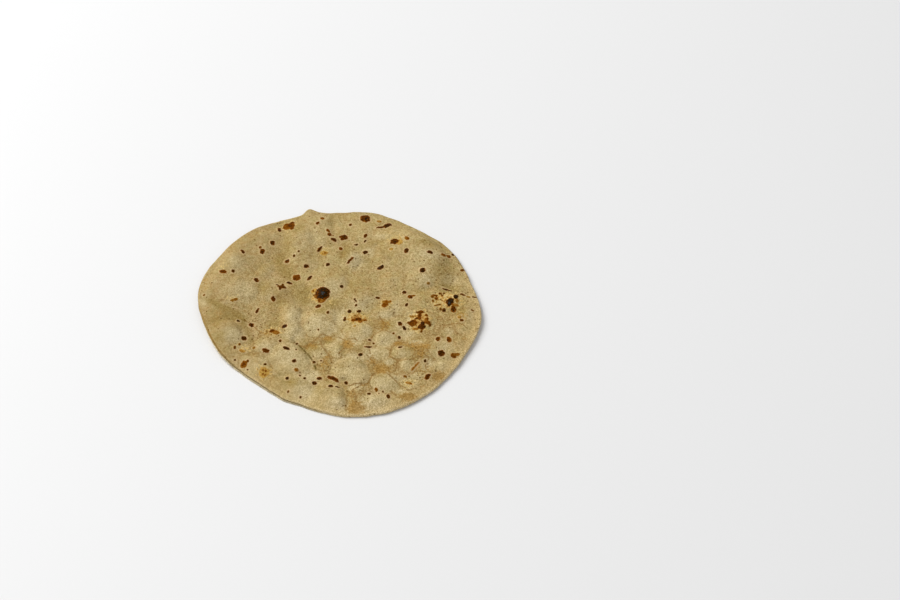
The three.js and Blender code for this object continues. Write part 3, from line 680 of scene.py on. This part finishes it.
# %% Find the domes, the valleys and the net
# each line is a path of x and y
NET = [
    [(-24, -30), (-18.3, -32.6), (-15.2, -30.8), (-12.3, -28.1), (-8.8, -22.8), (-5.6, -23.5), (-1.8, -26.6)],
    [(-9.5, -28), (-7.7, -32.8), (-3.7, -38.4), (-1, -44)], [(26, -9.6), (27.5, -13.3), (29, -15.2)],
    [(1, -24), (6, -28), (5, -33), (2, -38)], [(6, -28), (10, -25), (12, -27)],
    [(18, -37), (22, -41), (26, -46)], [(26, -46), (31, -50), (37, -56), (43, -61), (52, -57)],
    [(26, -46), (22, -52), (20, -58), (12, -62), (9, -66), (9, -77)], [(20, -58), (10, -59), (3, -57)],
    [(24, -7), (27, -12), (26, -18), (21, -22), (19, -29), (20, -36)], [(26, -18), (33, -19), (36, -24)],
    [(34, -26), (40, -26.5), (46, -29.5), (53, -29)], [(46, -30), (50, -34), (54, -37), (52, -44), (57, -50)],
    [(36, -26), (32, -31), (31, -37), (36, -40), (44, -39), (50, -36)], [(36, -40), (35, -47), (31, -50)],
    [(46, -40), (47, -47), (42, -50), (39, -50)], [(12, -62), (14, -68), (13, -75)],
    [(33, -62), (37, -66), (45, -65)],
    [(61.4, -15.2), (62.1, -12.2), (67.2, -10), (73.1, -10.6), (76, -13.3)],
    [(74, -20), (77.6, -22), (78, -27)], [(-60, -12), (-50, -17), (-44, -24), (-36, -25)],
    [(57, -50), (62, -50), (66, -44)],
]
SHARPEST_CREASE = CREASES[0][2]
VALLEY_FADE = 0.3
FLOUR_HIDES = 0.8

front = front_share(x, y)
dome = np.max([share for _, share in cushions(x, y)], axis=0)
valley = front * (1 - smooth_step(dome, 0, VALLEY_FADE)) * (1 - FLOUR_HIDES * np.minimum(1, floured_and_lit))
net_distance = np.min([distance_to_path(path, x, y) for path in NET], axis=0)
sharp_crease_distance = distance_to_path(SHARPEST_CREASE, x, y)
print("net:", len(NET), "lines")

# %% [markdown]
# The edge differs round the bread: a thin painted shadow line on the left, a cream rim in front that is
# partly floury and partly painted light, and parted into two skins between. The flour's grain is weaker near
# the left edge too.

# %% Write the skin's attributes
# where a shadow line is painted along the left edge
EDGE_SHADOW_LINE = {"at": 205, "spread": 14}
# the rim changes over these distances, from back to front along a slight slant and from left to right
RIM_SLANT, RIM_FRONT, RIM_RIGHT = 0.3, (-20, 20), (-60, 20)
# how fully the lower skin and the seam show where the skins have parted
LOWER_SKIN_SHOWS, SEAM_SHOWS = 1.5, 2
# how much less or more grain there is, and the distances over which that changes
LESS_GRAIN_LEFT, LEFT_EDGE, LEFT_SIDE = 0.38, (4, 30), (-10, 30)
MORE_GRAIN_RIGHT, RIGHT_SIDE = 0.2, (15, 70)


def grain_strength(x, y, from_edge):
    """How strong the flour's grain shows: less near the left edge, more on the right."""
    near_left_edge = (1 - smooth_step(from_edge, *LEFT_EDGE)) * smooth_step(-x, *LEFT_SIDE)
    return 1 - LESS_GRAIN_LEFT * near_left_edge + MORE_GRAIN_RIGHT * smooth_step(x, *RIGHT_SIDE)


def write_attribute(name, values):
    """A number on every point of the bread's mesh."""
    layer = bread_mesh.attributes.new(name, "FLOAT", "POINT")
    layer.data.foreach_set("value", values.astype(np.float32))


parted = bell_at(angle, **SKINS_PART)
in_front = smooth_step(-y + RIM_SLANT * x, *RIM_FRONT)
for name, values in {
    "char_distance": char_distance, "char_burning": char_burning, "char_size": char_size,
    "grainy": grain_strength(x, y, from_edge), "from_edge": from_edge,
    "rim_pale_and_lit": in_front, "rim_tan_and_lit": in_front * smooth_step(x, *RIM_RIGHT),
    "lower_skin": np.where((level > 0) & (level < 0.5), np.minimum(1, LOWER_SKIN_SHOWS * parted), 0),
    "seam": np.where(level == 0.5, np.minimum(1, SEAM_SHOWS * parted), 0),
}.items():
    write_attribute(name, values)
# these change over the upper skin, and are one number all over the underside
for name, (on_top, underneath) in {
    "dome": (dome * front, 0.3), "valley": (valley * inside, 0.2), "folded": (folded, 0),
    "net_distance": (net_distance, 9), "sharp_crease_distance": (sharp_crease_distance, 9),
    "toasted": (patches(TOASTED, x, y), 0.1), "stained": (patches(STAINS, x, y), 0.2),
    "floured_and_lit": (floured_and_lit, 0.3), "dulled_and_shaded": (patches(DULLED_AND_SHADED, x, y), 0.1),
    "speckled": (patches(SPECKLED, x, y), 0.3), "edge_shadow_line": (bell_at(angle, **EDGE_SHADOW_LINE), 0),
}.items():
    write_attribute(name, np.where(upper, on_top, underneath))
print("attributes:", [layer.name for layer in bread_mesh.attributes if layer.domain == "POINT"])

# %% [markdown]
# ## The bread as an object
# The mesh is done, so it becomes the bread's own object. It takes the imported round's place and rides on its
# body.

# %% Make the bread
bread_mesh.shade_smooth()
bread = bpy.data.objects.new("phulka_crust", bread_mesh)
bpy.context.scene.collection.objects.link(bread)
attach(bread, "root")
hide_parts("phulka")
print("bread:", len(bread_mesh.polygons), "faces")

# %% [markdown]
# ## The baked finish
# Everything on the crust is worked out where it lies, in millimetres on the bread itself, so it stays put
# from any side. First come a few helpers, because a finish of this kind takes many small nodes.

# %% Helpers for shader nodes
crust = bpy.data.materials.new("baked_dough")
crust.use_nodes = True
tree = crust.node_tree
tree.nodes.clear()


def node(kind, inputs, **settings):
    """A new shader node. Its inputs take a plain value, or another node's output."""
    made = tree.nodes.new(kind)
    for name, value in settings.items():
        setattr(made, name, value)
    for socket, value in inputs.items():
        if isinstance(value, bpy.types.NodeSocket):
            tree.links.new(value, made.inputs[socket])
        else:
            made.inputs[socket].default_value = value
    return made


def calculate(operation, first, second):
    """One sum, product or comparison of two numbers."""
    return node("ShaderNodeMath", {0: first, 1: second}, operation=operation).outputs[0]


def both(first, second):
    """The share of the surface where two shares hold together."""
    return calculate("MULTIPLY", first, second)


def step_between(value, start, end, low=0.0, high=1.0):
    """A soft step from the low number to the high one, as the value goes from start to end."""
    inputs = {"Value": value, "From Min": start, "From Max": end, "To Min": low, "To Max": high}
    return node("ShaderNodeMapRange", inputs, interpolation_type="SMOOTHSTEP").outputs["Result"]


def blend(share, first, second, how="MIX"):
    """Two colours mixed by a share. The mix node's inputs 6 and 7 are its pair of colours."""
    inputs = {0: share, 6: first, 7: second}
    return node("ShaderNodeMix", inputs, data_type="RGBA", blend_type=how).outputs[2]


def attribute(name):
    """A number that the mesh holds."""
    return node("ShaderNodeAttribute", {}, attribute_name=name).outputs["Fac"]


def paint(red, green, blue):
    """A colour from its 0 to 255 parts, as a painter's chart gives them."""
    parts = np.array([red, green, blue]) / 255
    linear = np.where(parts <= 0.04045, parts / 12.92, ((parts + 0.055) / 1.055) ** 2.4)
    return (*[float(part) for part in linear], 1.0)


print("helpers ready")

# %% [markdown]
# Every pattern starts from a place on the bread. Object coordinates are in metres, so they are made
# millimetres first. A cloudy noise then breaks up every edge that would otherwise look drawn.

# %% Helpers for patterns
spot = node("ShaderNodeTexCoord", {}).outputs["Object"]
spot = node("ShaderNodeMapping", {"Vector": spot, "Scale": [MM_PER_METRE] * 3}).outputs["Vector"]


def noise(size, detail=2.0, roughness=0.5, distortion=0.0):
    """A cloudy pattern around a half, with lumps of about this many millimetres."""
    inputs = {"Vector": spot, "Scale": 1 / size, "Detail": detail, "Roughness": roughness,
              "Distortion": distortion}
    return node("ShaderNodeTexNoise", inputs).outputs["Fac"]


def sway(reach, size, detail=2.0, roughness=0.5):
    """The cloudy pattern around zero, from about minus half its reach to half its reach."""
    return calculate("MULTIPLY", calculate("SUBTRACT", noise(size, detail, roughness), 0.5), reach)


def patchy(share, size, ragged=0.5):
    """A share whose edge is broken up by a cloudy pattern with lumps of about this size."""
    return calculate("ADD", share, sway(2 * ragged, size, 4, 0.6))


def bend(at, scale, reach):
    """The same places shifted about by a cloudy pattern, so that straight lines there are lost."""
    cloud = node("ShaderNodeTexNoise", {"Vector": at, "Scale": scale, "Detail": 3.0}).outputs["Color"]
    centred = node("ShaderNodeVectorMath", {0: cloud, 1: (0.5, 0.5, 0.5)}, operation="SUBTRACT").outputs[0]
    far = node("ShaderNodeVectorMath", {0: centred, "Scale": reach}, operation="SCALE").outputs[0]
    return node("ShaderNodeVectorMath", {0: at, 1: far}, operation="ADD").outputs[0]


print("patterns in millimetres")

# %% [markdown]
# ### The dough's own colour
# Wholewheat dough bakes to a greyish beige, mottled everywhere, and a little darker on the left here. The
# layers go on one after another, as glazes would, so the order of these cells matters.

# %% Colour the dough
BEIGE = paint(175, 153, 103)
WARM_BEIGE = paint(168, 144, 91)
PALE_FLOUR = paint(190, 171, 125)
# these multiply the colour
PINKER = (1.03, 0.985, 1, 1)
GREENER = (0.97, 1.01, 0.98, 1)
LEFT_TINT = (0.97, 0.955, 0.985, 1)
# between these values of a cloudy noise, half the surface goes over from one colour to the other
HALF_AND_HALF = (0.35, 0.65)

# each step has the values where a layer starts and is full, then its least and its greatest strength
colour = blend(step_between(noise(16, 3), *HALF_AND_HALF), BEIGE, WARM_BEIGE)
colour = blend(step_between(noise(4, 3), *HALF_AND_HALF), colour, PINKER, "MULTIPLY")
colour = blend(step_between(noise(5.5, 3), *HALF_AND_HALF), colour, GREENER, "MULTIPLY")
colour = blend(step_between(noise(3.2, 3, 0.6), 0.45, 0.75, 0, 0.4), colour, PALE_FLOUR)
across = node("ShaderNodeSeparateXYZ", {"Vector": spot}).outputs["X"]
colour = blend(step_between(across, -15, -50), colour, LEFT_TINT, "MULTIPLY")
print("dough colour done")

# %% [markdown]
# ### Flour and painted light, tan, and olive shade
# Flour that stayed is pale, and white where it lies thick; the same patches also paint light on slopes. In
# the valleys the iron rubbed it off and tanned the skin. The olive patches are partly skin that stayed damp
# and dull, partly painted shade in hollows and on slopes.

# %% Dust the dough, and paint light and shade
WHITE_FLOUR_AND_LIGHT = paint(212, 194, 150)
TAN = paint(163, 136, 83)
OLIVE_AND_SHADE = paint(137, 114, 56)

in_valley = attribute("valley")
flour_and_light = attribute("floured_and_lit")
colour = blend(step_between(patchy(in_valley, 1.6, 0.9), 0.3, 0.8, 0, 0.1), colour, TAN)
# pale where flour stayed, and painted light on slopes
flour_and_light_share = step_between(patchy(flour_and_light, 3, 0.35), 0.1, 1, 0, 0.95)
not_rubbed = step_between(patchy(in_valley, 1.4, 0.5), 0.25, 0.6, 1, 0)
colour = blend(both(flour_and_light_share, not_rubbed), colour, PALE_FLOUR)
# white where flour lies thick, and painted light on slopes that lie in shade
colour = blend(step_between(patchy(flour_and_light, 3, 0.2), 1, 1.6, 0, 0.8), colour, WHITE_FLOUR_AND_LIGHT)
# olive: dull skin, and painted shade in hollows and on slopes
colour = blend(step_between(patchy(attribute("dulled_and_shaded"), 2.5, 0.35), 0.1, 1, 0, 0.8), colour, OLIVE_AND_SHADE)
print("flour done")

# %% [markdown]
# ### The brown net
# Each dome has a thin brown outline, fainter where flour or painted light covers it. In the valleys a cell
# pattern, bent out of its straight lines, gives small pale cells with brown lines between, and the listed
# lines join them.
# The creases get an olive painted shade by their depth.

# %% Draw the net, and paint shade in the folds
NET_BROWN = paint(140, 108, 58)
NET_CELL = 2
NET_BEND = {"scale": 0.55, "reach": 2.2}

on_dome = patchy(attribute("dome"), 2, 0.15)
outlined = both(step_between(on_dome, 0.0, 0.06), step_between(on_dome, 0.22, 0.1))
outlined = both(outlined, step_between(flour_and_light, 1, 0.4, 0, 0.45))
colour = blend(outlined, colour, NET_BROWN)
cells = node("ShaderNodeTexVoronoi", {"Vector": bend(spot, **NET_BEND), "Scale": 1 / NET_CELL},
             feature="DISTANCE_TO_EDGE").outputs["Distance"]
netted = step_between(patchy(in_valley, 3, 0.6), 0.3, 0.9)
colour = blend(both(step_between(cells, 0.28, 0.5, 0, 0.35), netted), colour, PALE_FLOUR)
colour = blend(both(step_between(cells, 0.26, 0.04, 0, 0.6), netted), colour, NET_BROWN)
net_line = step_between(patchy(attribute("net_distance"), 1.1, 0.9), 0.7, 0.25, 0, 0.75)
colour = blend(net_line, colour, NET_BROWN)
# olive painted shade in the creases, darker where they are deeper
colour = blend(step_between(attribute("folded"), 0.6, 2.4, 0, 0.6), colour, OLIVE_AND_SHADE)
print("net done")

# %% [markdown]
# ### Stained and toasted patches
# A toasted patch runs from cream at its fringe over yellow to brown, as its strength passes one step after
# another. The border at the front right is a light tan, partly its own colour and partly painted light on its
# slope turned from the lamp. The sharpest crease has a dark line along it, painted shade in its fold.

# %% Toast the patches
BORDER_TAN_AND_LIGHT = paint(204, 176, 120)
STAIN_BROWN = paint(158, 120, 56)
TOAST_CREAM = paint(206, 180, 116)
TOAST_YELLOW = paint(180, 138, 68)
TOAST_BROWN = paint(140, 90, 32)
CREASE_SHADE_BROWN = paint(86, 68, 16)

to_edge = attribute("from_edge")
# a lighter tan border at the front right: partly its colour, partly painted light on its slope turned from
# the lamp
colour = blend(both(step_between(to_edge, 11, 2, 0, 0.55), attribute("rim_tan_and_lit")), colour, BORDER_TAN_AND_LIGHT)
colour = blend(step_between(patchy(attribute("stained"), 1.3, 1.1), 0.45, 0.85, 0, 0.72), colour, STAIN_BROWN)
toasted = patchy(attribute("toasted"), 1.5, 1)
colour = blend(step_between(toasted, 0.4, 0.6, 0, 0.7), colour, TOAST_CREAM)
colour = blend(step_between(toasted, 0.6, 0.8, 0, 0.8), colour, TOAST_YELLOW)
colour = blend(step_between(patchy(toasted, 0.9, 0.6), 0.9, 1.1, 0, 0.85), colour, TOAST_BROWN)
# a dark line painted along the sharpest crease: painted shade in its fold
crease_shade_line = step_between(patchy(attribute("sharp_crease_distance"), 1.2, 0.8), 0.85, 0.2, 0, 0.75)
colour = blend(crease_shade_line, colour, CREASE_SHADE_BROWN)
print("patches done")

# %% [markdown]
# ### The edge
# The rim in front is cream, partly kept flour and partly painted light on its side turned from the lamp. On
# the left a painted shadow line runs along the edge, where the lip would shade it. Where the skins parted,
# the lower one is painted nearly white, as light on its shaded face, with a brown seam between the two.

# %% Colour the edge
RIM_CREAM_AND_LIGHT = paint(228, 204, 152)
LOWER_SKIN_LIGHT = paint(255, 238, 194)
SEAM_BROWN = paint(132, 102, 44)

# cream rim in front: partly kept flour, partly painted light on its side turned from the lamp
rim = both(step_between(to_edge, 0.2, 1.8, 0.7, 0), attribute("rim_pale_and_lit"))
colour = blend(rim, colour, RIM_CREAM_AND_LIGHT)
# a painted shadow line along the left edge, where the lip shades the gap between the skins
edge_line = both(step_between(to_edge, 1.4, 0.8, 0, 0.9), attribute("edge_shadow_line"))
colour = blend(edge_line, colour, SEAM_BROWN)
# the lower skin painted nearly white: painted light on its shaded face
colour = blend(attribute("lower_skin"), colour, LOWER_SKIN_LIGHT)
colour = blend(step_between(attribute("seam"), 0.35, 0.8, 0, 0.8), colour, SEAM_BROWN)
print("edge done")

# %% [markdown]
# ### Grain and bran
# The flour's grain shows as light and dark points under a millimetre, and the bran as small brown flecks.
# A cell pattern places the flecks: each cell has a random number, and only some cells get one.

# %% Add grain and bran
BRAN = paint(124, 90, 30)
SPECK = paint(96, 64, 8)
GRAIN_SIZE = 0.48
# how much of the dough's red, green and blue the darkest and the lightest grain have: dark grains are
# brown with bran, light ones white with flour
GRAIN_DARK = {"Red": 0.76, "Green": 0.73, "Blue": 0.64}
GRAIN_LIGHT = {"Red": 1.25, "Green": 1.28, "Blue": 1.41}

flour = node("ShaderNodeTexVoronoi", {"Vector": spot, "Scale": 1 / GRAIN_SIZE}).outputs["Color"]
flour = node("ShaderNodeSeparateColor", {"Color": flour}).outputs["Red"]
grain = calculate("ADD", calculate("MULTIPLY", flour, 0.8), calculate("MULTIPLY", noise(0.8, 2, 0.6), 0.2))
shades = {part: step_between(grain, 0.15, 0.85, GRAIN_DARK[part], GRAIN_LIGHT[part]) for part in GRAIN_DARK}
tint = node("ShaderNodeCombineColor", shades).outputs["Color"]
colour = blend(attribute("grainy"), colour, tint, "MULTIPLY")


def flecks(size, radius, amount):
    """Dots of about this radius, one in every few cells of this size; amount is their share of the cells."""
    cloud = node("ShaderNodeTexNoise", {"Vector": spot, "Scale": 1.2}).outputs["Color"]
    places = node("ShaderNodeVectorMath", {0: spot, 1: cloud}, operation="ADD").outputs[0]
    cells = node("ShaderNodeTexVoronoi", {"Vector": places, "Scale": 1 / size})
    lucky = node("ShaderNodeSeparateColor", {"Color": cells.outputs["Color"]}).outputs["Red"]
    dot = step_between(cells.outputs["Distance"], radius / size, 0.4 * radius / size)
    return both(dot, calculate("LESS_THAN", lucky, amount))


colour = blend(calculate("MULTIPLY", flecks(1.9, 0.6, 0.2), 0.55), colour, BRAN)
speck_amount = calculate("ADD", calculate("MULTIPLY", attribute("speckled"), 0.5), 0.025)
colour = blend(calculate("MULTIPLY", flecks(1.5, 0.68, speck_amount), 0.85), colour, SPECK)
print("grain and bran done")

# %% [markdown]
# ### Scorch marks
# The stored distance gives each mark's edge, and noise makes it ragged, less so on a small mark. Outside it
# the skin dried pale in a narrow halo, and right at the edge it turned orange.

# %% Find the marks' ragged edges
HALO_ORANGE = paint(160, 116, 60)
HALO_PALE = paint(204, 178, 132)
# reach of the coarse and the fine raggedness
RAGGED, RAGGED_FINE = 1.9, 1.5

mark_size = attribute("char_size")
ragged = calculate("ADD", sway(RAGGED, 1.9), sway(RAGGED_FINE, 0.7))
ragged = calculate("MULTIPLY", ragged, step_between(mark_size, 0.4, 2.6, 0.4, 1))
to_mark = calculate("ADD", attribute("char_distance"), ragged)
untoasted = step_between(toasted, 0.4, 0.2)
colour = blend(both(step_between(to_mark, 1.3, 0.6, 0, 0.42), untoasted), colour, HALO_PALE)
colour = blend(step_between(to_mark, 0.5, 0, 0, 0.6), colour, HALO_ORANGE)
print("halos done")

# %% [markdown]
# Burning deepens from the edge in, so the colour runs from yellow over rust to black. The few marks that
# burnt past black have a grey middle, partly ash and partly a painted highlight, and the smallest marks are
# more olive.

# %% Scorch the bubbles
ASH_AND_HIGHLIGHT = paint(58, 58, 56)
SMALL_MARK = paint(62, 50, 6)
MARK_COLOURS = [
    (0.0, paint(190, 152, 74)), (0.2, paint(158, 116, 50)), (0.4, paint(134, 86, 20)),
    (0.6, paint(112, 58, 2)), (0.8, paint(80, 40, 0)), (1.0, paint(38, 22, 0)),
]
# how unevenly a mark has burnt, coarse and fine, and how far the burning has got at its very edge
UNEVEN, UNEVEN_FINE = 0.8, 0.9
FRINGE = 0.6

uneven = calculate("ADD", sway(UNEVEN, 1.3), sway(UNEVEN_FINE, 0.6, 1))
burning = calculate("ADD", attribute("char_burning"), uneven)
fringe_end = step_between(mark_size, 0.3, 3, -0.15, -0.75)
burning = both(burning, step_between(to_mark, 0.25, fringe_end, FRINGE, 1))
scale = node("ShaderNodeValToRGB", {"Fac": burning})
ends = scale.color_ramp.elements
ends[0].position, ends[0].color = MARK_COLOURS[0]
ends[1].position, ends[1].color = MARK_COLOURS[-1]
for position, tone in MARK_COLOURS[1:-1]:
    ends.new(position).color = tone
mark_share = step_between(to_mark, 0.26, 0.02)
# grey in the middle of the blackest marks: partly ash, partly a painted highlight
charred = blend(step_between(burning, 1.15, 1.4), scale.outputs["Color"], ASH_AND_HIGHLIGHT)
charred = blend(step_between(mark_size, 1.3, 0.7, 0, 0.35), charred, SMALL_MARK)
colour = blend(mark_share, colour, charred)
print("marks done:", len(MARK_COLOURS), "tones")

# %% [markdown]
# ### Roughness and fine relief
# Baked flour is dry and matt. Only the blackest bubbles have a slight shine. The finest grain is too small
# for the mesh, so the shader tilts the surface with it.

# %% Finish the surface
MATT, SINGED = 0.86, 0.3
SPECULAR = 0.02
# in metres
GRAIN_RELIEF = 0.0001
WRINKLE_RELIEF = 0.0003

roughness = step_between(both(mark_share, burning), 0.6, 1.0, MATT, SINGED)
wrinkle = noise(2.2, 4, 0.6, distortion=0.6)
fine = node("ShaderNodeBump", {"Height": grain, "Distance": GRAIN_RELIEF, "Strength": 1.0}).outputs["Normal"]
fine = node("ShaderNodeBump", {
    "Height": wrinkle, "Distance": WRINKLE_RELIEF, "Normal": fine}).outputs["Normal"]
surface = node("ShaderNodeBsdfPrincipled", {
    "Base Color": colour, "Roughness": roughness, "Normal": fine, "Specular IOR Level": SPECULAR})
node("ShaderNodeOutputMaterial", {"Surface": surface.outputs["BSDF"]})
bread_mesh.materials.append(crust)
print("finish:", len(tree.nodes), "nodes")

# %% [markdown]
# ## Table and light
# The bread lies on a plain pale table. One large soft lamp stands behind it on the left, so blisters are
# lit on their far side and shadows fall to the front right, and a pale sky fills them.

# %% Set the table and the light
# in metres
TABLE_WIDTH = 8.0
TABLE_GAP = 0.00005
KEY_PLACE = (-2.3, 1.3, 2.4)
KEY_WIDTH = 2.4
# in watts
KEY_POWER = 143
SKY_STRENGTH = 0.47
TABLE_COLOUR = paint(228, 228, 228)
TABLE_ROUGHNESS = 0.6


def make_table():
    """A square sheet of table that reaches past the picture."""
    board = bmesh.new()
    bmesh.ops.create_grid(board, x_segments=1, y_segments=1, size=TABLE_WIDTH / 2)
    bmesh.ops.translate(board, verts=board.verts[:], vec=(0, 0, -TABLE_GAP))
    mesh = bpy.data.meshes.new("table")
    board.to_mesh(mesh)
    board.free()
    material = bpy.data.materials.new("pale_table")
    material.use_nodes = True
    shader = material.node_tree.nodes["Principled BSDF"]
    shader.inputs["Base Color"].default_value = TABLE_COLOUR
    shader.inputs["Roughness"].default_value = TABLE_ROUGHNESS
    mesh.materials.append(material)
    table = bpy.data.objects.new("table", mesh)
    bpy.context.scene.collection.objects.link(table)


def make_lamp(name, place, width, power):
    """A square soft lamp that points at the bread."""
    lamp = bpy.data.lights.new(name, "AREA")
    lamp.size = width
    lamp.energy = power
    holder = bpy.data.objects.new(name, lamp)
    bpy.context.scene.collection.objects.link(holder)
    holder.location = place
    holder.rotation_euler = (-Vector(place)).to_track_quat("-Z", "Y").to_euler()


make_table()
make_lamp("key", KEY_PLACE, KEY_WIDTH, KEY_POWER)
world = bpy.data.worlds.new("sky")
world.use_nodes = True
world.node_tree.nodes["Background"].inputs["Color"].default_value = (1, 1, 1, 1)
world.node_tree.nodes["Background"].inputs["Strength"].default_value = SKY_STRENGTH
bpy.context.scene.world = world
bpy.context.scene.view_settings.view_transform = "Standard"
print("lit")

# %% [markdown]
# ## The camera
# The picture is taken from the front, looking down at about 48 degrees, with the camera held slightly
# askew. It stands where the marks were read from. Its place and the point it looks at are given in the
# bread's own millimetres, as the forms are.

# %% Place the camera
CAMERA_AIM = (65.45, 8.78, 3.0)
CAMERA_ROLL = 4.666
LENS = 50


def in_metres(place):
    """A place that was given in millimetres, in metres about the middle of the bread's outline."""
    return Vector((place[0] - middle[0], place[1] - middle[1], place[2])) / MM_PER_METRE


camera_data = bpy.data.cameras.new("camera")
camera_data.lens = LENS
camera_data.clip_start = 0.01
camera = bpy.data.objects.new("camera", camera_data)
bpy.context.scene.collection.objects.link(camera)
camera.location = in_metres(CAMERA_PLACE)
aim = (in_metres(CAMERA_AIM) - camera.location).to_track_quat("-Z", "Y")
camera.rotation_euler = (aim @ Quaternion((0, 0, 1), math.radians(CAMERA_ROLL))).to_euler()
bpy.context.scene.camera = camera
print("camera at", [round(value, 3) for value in camera.location])
